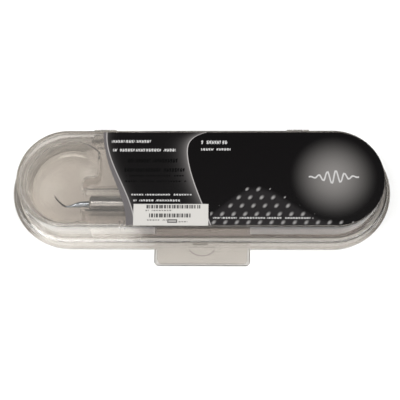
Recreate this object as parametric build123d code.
from build123d import *
import os

# A magnetostrictive scaler insert, lying in its clear hinged storage case. Millimetres.
# X runs along the case with the tip towards -X, +Y is the hinge side, +Z is up, and the case rests on z = 0.

os.makedirs("parts", exist_ok=True)

# case plan: a stadium, two half circles joined by straight sides
top_half_length = 94.8
top_radius = 26.0
end_x = top_half_length - top_radius

# case lid, from its flange up to its flat top
lid_bottom = 2.8
lid_flange_top = 4.0
lid_flange_radius = 31.9
skirt_foot_radius = 31.0
ledge_radius = 29.6
ledge_height = 8.8
wall_foot_radius = 27.4
wall_foot_height = 9.0
lid_top = 26.0
lid_skin = 1.4
lid_edge_round = 0.25
lid_inner_round = 0.8
ledge_round = 0.6
below = 1.0
far_out = 36.0

# pull tab and its half-round thumb dimple
tab_centre_x = 1.0
tab_width = 50.2
tab_front = -41.0
tab_corner = 2.4
tab_border = 1.4
tab_panel_depth = 0.3
dimple_half_width = 6.8
dimple_half_depth = 4.6
dimple_drop = 0.7
panel_corner = 1.2

# case base
floor_thickness = 1.6
base_foot_radius = 30.2
base_flange_bottom = 1.0
base_flange_top = 2.6
base_flange_radius = 31.7
upstand_outer = 27.7
upstand_inner = 26.4
upstand_top = 7.0

# hinge at the back
hinge_y = 32.9
hinge_z = 4.4
hinge_x = 52.3
knuckle_radius = 1.9
ear_width = 5.2
knuckle_width = 3.0
hinge_gap = 0.3
hinge_pin_radius = 0.75
hinge_running_gap = 0.05
ear_root_y = 29.9
ear_foot_z = 3.0
lid_slot_front = 30.6
base_slot_front = 30.9
base_slot_bottom = 2.1
base_slot_top = 5.0
knuckle_foot_y = 31.0

# front snap
snap_half_width = 4.0
nib_reach = 28.05
catch_reach = 28.3
catch_root = 29.4
catch_bottom = 4.2
catch_top = 5.2
nib_bottom = 5.8
nib_top = 6.6
nib_root = 26.6

# two short ribs inside the lid's front wall
rib_places = (-40.7, -38.4)
rib_half_width = 0.35
rib_outer = 25.4
rib_inner = 22.6
rib_bottom = 19.9

# cradle that holds the insert
cradle_foot_radius = 26.2
cradle_waist_radius = 25.2
cradle_top_radius = 23.6
cradle_top = 19.5
cradle_skin = 1.0
well_floor = 8.0
well_floor_radius = 20.3
well_rim_radius = 22.2
well_floor_round = 3.0
well_right_x = -53.8
neck_x = -61.8
neck_back_y = 3.0
channel_end_x = 85.0
channel_side_gap = 0.2
channel_top_half = 5.4
finger_left_x = -33.0
finger_right_x = -9.0
finger_half_width = 11.5
finger_floor = 5.5
neck_outer_round = 4.0
neck_inner_round = 2.5
finger_round = 4.0
saddle_x = 61.5
saddle_half_length = 1.5
saddle_half_width = 3.0
saddle_depth = 5.0
saddle_top = 9.3

# insert: every round piece is coaxial with the steel grip sleeve
axis_y = -9.7
axis_z = 11.6
sleeve_radius = 4.15
sleeve_bore = 3.2
sleeve_front = -58.1
nose_chamfer = 1.0
sleeve_back = -14.5
nose_wall = 1.2
nose_hole = 2.3
shank_radius = 1.7
tip_root_x = -54.6
cross_hole_x = -62.4
cross_hole_radius = 0.35
stem_radius = 2.45
shoulder_front = -50.0
shoulder_back = -41.0
shoulder_radius = 2.6
node_front = -38.0
node_back = -31.0
node_radius = 3.05
node_groove_front = -37.2
node_groove_rear = -32.9
node_groove_width = 1.1
pin_x = -34.5
cross_pin_radius = 0.7
water_bore = 0.5
front_bore_end = -36.0
rear_bore_start = -33.0
rear_bore_end = -27.5
outlet_x = -28.0
inner_ring_section = 0.48
groove_floor = 2.15
collar_front = -17.5
collar_back = -8.7
grip_groove_places = (-21.5, -19.5, -17.5)
grip_groove_depth = 0.3
grip_groove_half = 0.4
outer_ring_x = -12.0
outer_ring_section = 0.75
outer_groove_floor = 3.1
clip_thickness = 1.0
clip_floor = 2.1
clip_radius = 3.6
clip_gap = 1.8
flange_front = -6.3
flange_radius = 3.4
braze_seat_x = -4.6
stack_front = -2.6
stack_back = 82.3
braze_length = 2.0
braze_corner = 0.9
front_braze_size = (6.8, 5.2)
rear_braze_size = (6.6, 5.0)
lamination_count = 14
lamination_thickness = 0.25
lamination_pitch = 0.31
lamination_width = 6.2

# printed film and paper sticker on the lid
film_thickness = 0.12
film_radius = 25.1
film_right = 94.6
sticker_thickness = 0.08
sticker_left = -33.6
sticker_right = 4.6
sticker_front = -25.4
sticker_back = -14.0
shank_gap = 0.05
cross_pin_short = 0.5


def save(name, shape):
    shape.label = name
    export_step(shape, "parts/" + name + ".step")


def stadium(outline, rounded=()):
    """Closed body whose side follows outline, a list of (radius, height) from bottom to top."""
    half = [(0, outline[0][1])] + outline + [(0, outline[-1][1])]
    full = outline + [(-r, z) for r, z in reversed(outline)]
    half_face = make_face(Polyline(*half, close=True))
    full_face = make_face(Polyline(*full, close=True))
    for radius, height, size in rounded:
        half_face = round_corners(half_face, radius, height, size)
        full_face = round_corners(full_face, radius, height, size)
    end = revolve(Plane.XZ * half_face, Axis.Z)
    middle = extrude(Plane.YZ * full_face, amount=end_x, both=True)
    return middle + Pos(-end_x, 0, 0) * end + Pos(end_x, 0, 0) * end


def round_corners(face, radius, height, size):
    """Rounds the corners of a flat outline that lie at this radius and height, on either side."""
    corners = [v for v in face.vertices() if abs(abs(v.X) - radius) < 1e-6 and abs(v.Y - height) < 1e-6]
    return fillet(corners, size)


def block(x0, x1, y0, y1, z0, z1):
    return Pos((x0 + x1) / 2, (y0 + y1) / 2, (z0 + z1) / 2) * Box(x1 - x0, y1 - y0, z1 - z0)


def plate(width, depth, corner, thickness):
    return extrude(RectangleRounded(width, depth, corner), amount=thickness)


def rod(x0, x1, radius, y=axis_y, z=axis_z):
    """Round bar along X from x0 to x1."""
    bar = Cylinder(radius, x1 - x0, align=(Align.CENTER, Align.CENTER, Align.MIN))
    return Pos(x0, y, z) * Rot(0, 90, 0) * bar


def turned(profile):
    """Turned piece on the insert's axis, from (x, radius) points that end on the bore or the axis."""
    face = make_face(Polyline(*profile, close=True))
    return Pos(0, axis_y, axis_z) * revolve(Plane.XZ * face, Axis.X)


def seal_ring(x, floor_radius, section):
    """Rubber ring seated on a groove floor."""
    return Pos(x, axis_y, axis_z) * Rot(0, 90, 0) * Torus(floor_radius + section, section)


# hinge stations: each lid ear turns between two knuckles of the base
ear_half = ear_width / 2
knuckle_near = ear_half + hinge_gap
knuckle_far = knuckle_near + knuckle_width


def hinge_barrel(x0, x1):
    return rod(x0, x1, knuckle_radius, hinge_y, hinge_z)


def make_lid():
    outside = stadium(
        [(lid_flange_radius, lid_bottom), (lid_flange_radius, lid_flange_top),
         (skirt_foot_radius, lid_flange_top), (ledge_radius, ledge_height),
         (wall_foot_radius, wall_foot_height), (top_radius, lid_top)],
        [(top_radius, lid_top, lid_edge_round), (wall_foot_radius, wall_foot_height, ledge_round),
         (ledge_radius, ledge_height, ledge_round)])
    inside_foot = skirt_foot_radius - lid_skin
    inside_ledge = ledge_radius - lid_skin
    inside_ledge_height = ledge_height - lid_skin
    inside = stadium(
        [(inside_foot, lid_bottom - below), (inside_foot, lid_bottom), (inside_ledge, inside_ledge_height),
         (wall_foot_radius - lid_skin, inside_ledge_height), (top_radius - lid_skin, lid_top - lid_skin)],
        [(top_radius - lid_skin, lid_top - lid_skin, lid_inner_round)])
    tab_depth = -tab_front - upstand_outer
    tab_thickness = lid_flange_top - lid_bottom
    tab = plate(tab_width, tab_depth, tab_corner, tab_thickness)
    tab = Pos(tab_centre_x, tab_front + tab_depth / 2, lid_bottom) * tab
    lid = outside + tab - inside

    panel_width = tab_width - 2 * tab_border
    panel_depth = -tab_front - lid_flange_radius - 2 * tab_border
    panel = plate(panel_width, panel_depth, panel_corner, below)
    panel_y = -lid_flange_radius - tab_border - panel_depth / 2
    lid -= Pos(tab_centre_x, panel_y, lid_flange_top - tab_panel_depth) * panel
    dimple_face = Ellipse(dimple_half_width, dimple_half_depth)
    dimple_cut = extrude(dimple_face, amount=2 * below)
    dimple_cut -= block(-far_out, far_out, 0, far_out, -below, 3 * below)
    lid -= Pos(tab_centre_x, -skirt_foot_radius, lid_flange_top - dimple_drop) * dimple_cut

    ear_top = hinge_z + knuckle_radius - 0.1
    slot_top = hinge_z + knuckle_radius + 0.5
    for side in (-1, 1):
        x = side * hinge_x
        ear = hinge_barrel(x - ear_half, x + ear_half)
        ear += block(x - ear_half, x + ear_half, ear_root_y, hinge_y, ear_foot_z, ear_top)
        lid += ear
        for near, far in ((-knuckle_far, -knuckle_near), (knuckle_near, knuckle_far)):
            lid -= block(x + near - hinge_gap, x + far + hinge_gap, lid_slot_front, far_out, 0, slot_top)
        lid -= rod(x - knuckle_far, x + knuckle_far, hinge_pin_radius + hinge_running_gap, hinge_y, hinge_z)

    lid += block(-snap_half_width, snap_half_width, -catch_root, -catch_reach, catch_bottom, catch_top)
    rib_top = lid_top - lid_skin + 0.1
    for rib_x in rib_places:
        rib_left = rib_x - rib_half_width
        rib_right = rib_x + rib_half_width
        lid += block(rib_left, rib_right, -rib_outer, -rib_inner, rib_bottom, rib_top)
    return lid


def make_base():
    outside = stadium(
        [(base_foot_radius, 0), (base_foot_radius + 0.3, base_flange_bottom),
         (base_flange_radius, base_flange_bottom), (base_flange_radius, base_flange_top),
         (upstand_outer + 0.1, base_flange_top), (upstand_outer, upstand_top)])
    inside = stadium([(upstand_inner, floor_thickness), (upstand_inner, upstand_top + below)])
    base = outside - inside
    tab_depth = -tab_front - base_foot_radius - tab_border
    tab_y = -base_foot_radius - tab_depth / 2
    tab_thickness = base_flange_top - base_flange_bottom
    tab = plate(tab_width - 2 * tab_border, tab_depth, tab_corner, tab_thickness)
    base += Pos(tab_centre_x, tab_y, base_flange_bottom) * tab
    base += block(-snap_half_width, snap_half_width, -nib_reach, -nib_root, nib_bottom, nib_top)
    for side in (-1, 1):
        x = side * hinge_x
        slot_half = ear_half + hinge_gap
        base -= block(x - slot_half, x + slot_half, base_slot_front, far_out, base_slot_bottom, base_slot_top)
        for near, far in ((-knuckle_far, -knuckle_near), (knuckle_near, knuckle_far)):
            base += hinge_barrel(x + near, x + far)
            knuckle_back = hinge_y + knuckle_radius
            base += block(x + near, x + far, knuckle_foot_y, knuckle_back, base_flange_bottom, hinge_z)
        base -= rod(x - knuckle_far, x + knuckle_far, hinge_pin_radius, hinge_y, hinge_z)
    return base


def channel(grow, x0, x1):
    """Trough round the insert: a round bottom, and sides that open a little towards the top."""
    radius = sleeve_radius + channel_side_gap + grow
    top_half = channel_top_half + grow
    top = cradle_top + below
    left = Line((-radius, 0), (-top_half, top - axis_z))
    lid_line = Line((-top_half, top - axis_z), (top_half, top - axis_z))
    right = Line((top_half, top - axis_z), (radius, 0))
    bottom = ThreePointArc((radius, 0), (0, -radius), (-radius, 0))
    face = make_face([left, lid_line, right, bottom])
    return Pos(x0, axis_y, axis_z) * extrude(Plane.YZ * face, amount=x1 - x0)


def tip_well(grow):
    """Round dish for the tip, stopped by the neck that the sleeve lies in."""
    height = cradle_top + below - well_floor
    slope = (well_rim_radius - well_floor_radius) / (cradle_top - well_floor)
    bottom = well_floor - grow
    cone = Cone(well_floor_radius + grow, well_floor_radius + grow + slope * height, height + grow,
                align=(Align.CENTER, Align.CENTER, Align.MIN))
    cone = fillet(cone.edges().group_by(Axis.Z)[0], well_floor_round + grow)
    left, right, step = neck_x + grow, well_right_x + grow, neck_back_y - grow
    neck = make_face(Polyline((left, -far_out), (left, step), (right, step), (right, far_out), (0, far_out),
                              (0, -far_out), close=True))
    outer_corner = [v for v in neck.vertices() if abs(v.X - left) < 1e-6 and abs(v.Y - step) < 1e-6]
    neck = fillet(outer_corner, neck_outer_round - grow)
    inner_corner = [v for v in neck.vertices() if abs(v.X - right) < 1e-6 and abs(v.Y - step) < 1e-6]
    neck = fillet(inner_corner, neck_inner_round + grow)
    return Pos(-end_x, 0, bottom) * cone - extrude(neck, amount=far_out)


def finger_well(grow):
    """Recess across the channel, so that fingers reach the grip sleeve."""
    width = finger_right_x - finger_left_x + 2 * grow
    depth = 2 * (finger_half_width + grow)
    middle = (finger_left_x + finger_right_x) / 2
    height = cradle_top + below - finger_floor
    return Pos(middle, axis_y, finger_floor - grow) * plate(width, depth, finger_round + grow, height + grow)


def make_cradle():
    foot_top = floor_thickness + cradle_skin
    outside = stadium([(cradle_foot_radius, floor_thickness), (cradle_foot_radius, foot_top),
                       (cradle_waist_radius, foot_top), (cradle_top_radius, cradle_top)])
    hollow = stadium([(cradle_waist_radius - cradle_skin, floor_thickness - below),
                      (cradle_waist_radius - cradle_skin, floor_thickness + cradle_skin),
                      (cradle_top_radius - cradle_skin, cradle_top - cradle_skin)])
    trough = channel(cradle_skin, neck_x, channel_end_x + cradle_skin)
    cups = tip_well(cradle_skin) + trough + finger_well(cradle_skin)
    cradle = (outside - hollow) + (cups & outside)
    cradle -= tip_well(0)
    cradle -= channel(0, neck_x, channel_end_x)
    cradle -= finger_well(0)
    cradle += block(saddle_x - saddle_half_length, saddle_x + saddle_half_length, axis_y - saddle_half_width,
                    axis_y + saddle_half_width, axis_z - saddle_depth, saddle_top)
    return cradle


def make_tip():
    """Shank that swells out of the sleeve, then a curve that thins to the working end."""
    neck_start = sleeve_front - 0.1
    stations = [(neck_start, 0, 0, shank_radius), (-60.8, -0.25, 0, 1.62), (-63.1, -0.41, 0, 1.55),
                (-65.7, -0.86, 0, 1.15), (-67.6, -1.24, 0, 0.76), (-69.3, -1.56, 0, 0.6),
                (-70.8, -1.48, 0.05, 0.52), (-72.3, -0.76, 0.2, 0.48), (-73.6, 0.22, 0.4, 0.45),
                (-74.8, 1.32, 0.6, 0.41), (-75.8, 2.35, 0.8, 0.36), (-76.35, 3.25, 0.95, 0.3),
                (-76.5, 4.1, 1.1, 0.22)]
    points = [Vector(x, axis_y + y, axis_z + z) for x, y, z, radius in stations]
    path = Spline(*points, tangents=[(-1, 0, 0), (-0.05, 1, 0.15)])
    sections = []
    for point, station in zip(points, stations):
        where = path.param_at_point(point)
        across = Plane(origin=point, x_dir=(0, 0, 1), z_dir=path % where)
        sections.append(across * Circle(station[3]))
    tip = loft(sections) + rod(neck_start, tip_root_x, shank_radius)
    tip -= rod(cross_hole_x - cross_hole_radius, tip_root_x, water_bore)
    hole = Cylinder(cross_hole_radius, 2 * shank_radius, align=(Align.CENTER, Align.CENTER, Align.MAX))
    return tip - Pos(cross_hole_x, axis_y, axis_z) * hole


def make_connecting_body():
    grooves = []
    for start in (node_groove_front, node_groove_rear):
        end = start + node_groove_width
        grooves += [(start, node_radius), (start, groove_floor), (end, groove_floor), (end, node_radius)]
    clip_back = collar_back + clip_thickness
    stem = turned([(tip_root_x, 0), (tip_root_x, shank_radius), (shoulder_front, shank_radius),
                   (shoulder_back, shoulder_radius), (node_front, shoulder_radius), (node_front, node_radius)]
                  + grooves +
                  [(node_back, node_radius), (node_back, stem_radius), (collar_back, stem_radius),
                   (collar_back, clip_floor), (clip_back, clip_floor), (clip_back, stem_radius),
                   (flange_front, stem_radius), (flange_front, flange_radius), (braze_seat_x, flange_radius),
                   (braze_seat_x, 0)])
    stem -= rod(tip_root_x, front_bore_end, water_bore)
    stem -= rod(rear_bore_start, rear_bore_end, water_bore)
    stem -= Pos(outlet_x, axis_y, axis_z) * Cylinder(water_bore, 2 * node_radius)
    stem -= Pos(pin_x, axis_y, axis_z) * Cylinder(cross_pin_radius, 2 * sleeve_radius)
    return stem


def make_sleeve():
    profile = [(sleeve_front, nose_hole), (sleeve_front, sleeve_radius - nose_chamfer),
               (sleeve_front + nose_chamfer, sleeve_radius)]
    for groove_x in grip_groove_places:
        profile += [(groove_x - grip_groove_half, sleeve_radius),
                    (groove_x, sleeve_radius - grip_groove_depth),
                    (groove_x + grip_groove_half, sleeve_radius)]
    profile += [(sleeve_back, sleeve_radius), (sleeve_back, sleeve_bore),
                (sleeve_front + nose_wall, sleeve_bore), (sleeve_front + nose_wall, nose_hole)]
    sleeve = turned(profile)
    sleeve -= Pos(pin_x, axis_y, axis_z) * Cylinder(cross_pin_radius, 2 * sleeve_radius + below)
    return sleeve


def make_seal_collar():
    groove_half = outer_ring_section + 0.1
    groove_start = outer_ring_x - groove_half
    groove_end = outer_ring_x + groove_half
    return turned([(collar_front, stem_radius), (collar_front, sleeve_bore), (sleeve_back, sleeve_bore),
                   (sleeve_back, sleeve_radius), (groove_start, sleeve_radius),
                   (groove_start, outer_groove_floor), (groove_end, outer_groove_floor),
                   (groove_end, sleeve_radius), (collar_back, sleeve_radius), (collar_back, stem_radius)])


def make_spring_clip():
    """Split ring: a gap in its upper side lets it spring over the stem."""
    clip_back = collar_back + clip_thickness
    clip = rod(collar_back, clip_back, clip_radius) - rod(collar_back, clip_back, clip_floor)
    return clip - block(collar_back - below, clip_back + below, axis_y - clip_gap / 2, axis_y + clip_gap / 2,
                        axis_z, axis_z + 2 * clip_radius)


def make_braze(x, size):
    face = RectangleRounded(*size, braze_corner)
    return Pos(x, axis_y, axis_z) * extrude(Plane.YZ * face, amount=braze_length)


def make_laminations():
    first = axis_z - (lamination_count - 1) * lamination_pitch / 2
    half_width = lamination_width / 2
    half_thickness = lamination_thickness / 2
    strips = []
    for number in range(lamination_count):
        z = first + number * lamination_pitch
        strips.append(block(stack_front, stack_back, axis_y - half_width, axis_y + half_width,
                            z - half_thickness, z + half_thickness))
    return Compound(children=strips)


def make_film():
    """Printed film: an S-shaped left edge, straight long sides and a round right end."""
    film_end_x = film_right - film_radius
    left_edge = Spline((-50.6, film_radius), (-49.4, 16), (-46.3, 5), (-42.5, -4.4), (-39.2, -13),
                       (-37.5, -21), (-37.3, -film_radius))
    front = Line((-37.3, -film_radius), (film_end_x, -film_radius))
    right = ThreePointArc((film_end_x, -film_radius), (film_right, 0), (film_end_x, film_radius))
    back = Line((film_end_x, film_radius), (-50.6, film_radius))
    return Pos(0, 0, lid_top) * extrude(make_face([left_edge, front, right, back]), amount=film_thickness)


def make_sticker():
    z = lid_top + film_thickness
    return block(sticker_left, sticker_right, sticker_front, sticker_back, z, z + sticker_thickness)


save("case_lid", make_lid())
save("case_base", make_base())
save("insert_cradle", make_cradle())
for side, word in ((-1, "left"), (1, "right")):
    x = side * hinge_x
    save("hinge_pin_" + word, rod(x - knuckle_far, x + knuckle_far, hinge_pin_radius, hinge_y, hinge_z))
save("printed_film", make_film())
save("code_sticker", make_sticker())
save("scaler_tip", make_tip())
save("connecting_body", make_connecting_body())
save("grip_sleeve", make_sleeve())
bush_front = sleeve_front + nose_wall
bush_hole = rod(bush_front, tip_root_x, shank_radius + shank_gap)
save("nose_bush", rod(bush_front, tip_root_x, sleeve_bore) - bush_hole)
cross_pin_length = 2 * sleeve_radius - cross_pin_short
save("cross_pin", Pos(pin_x, axis_y, axis_z) * Cylinder(cross_pin_radius, cross_pin_length))
front_ring_x = node_groove_front + node_groove_width / 2
rear_ring_x = node_groove_rear + node_groove_width / 2
save("inner_seal_front", seal_ring(front_ring_x, groove_floor, inner_ring_section))
save("inner_seal_rear", seal_ring(rear_ring_x, groove_floor, inner_ring_section))
save("seal_collar", make_seal_collar())
save("handpiece_seal", seal_ring(outer_ring_x, outer_groove_floor, outer_ring_section))
save("spring_clip", make_spring_clip())
save("front_braze", make_braze(braze_seat_x, front_braze_size))
save("nickel_laminations", make_laminations())
save("rear_braze", make_braze(stack_back, rear_braze_size))
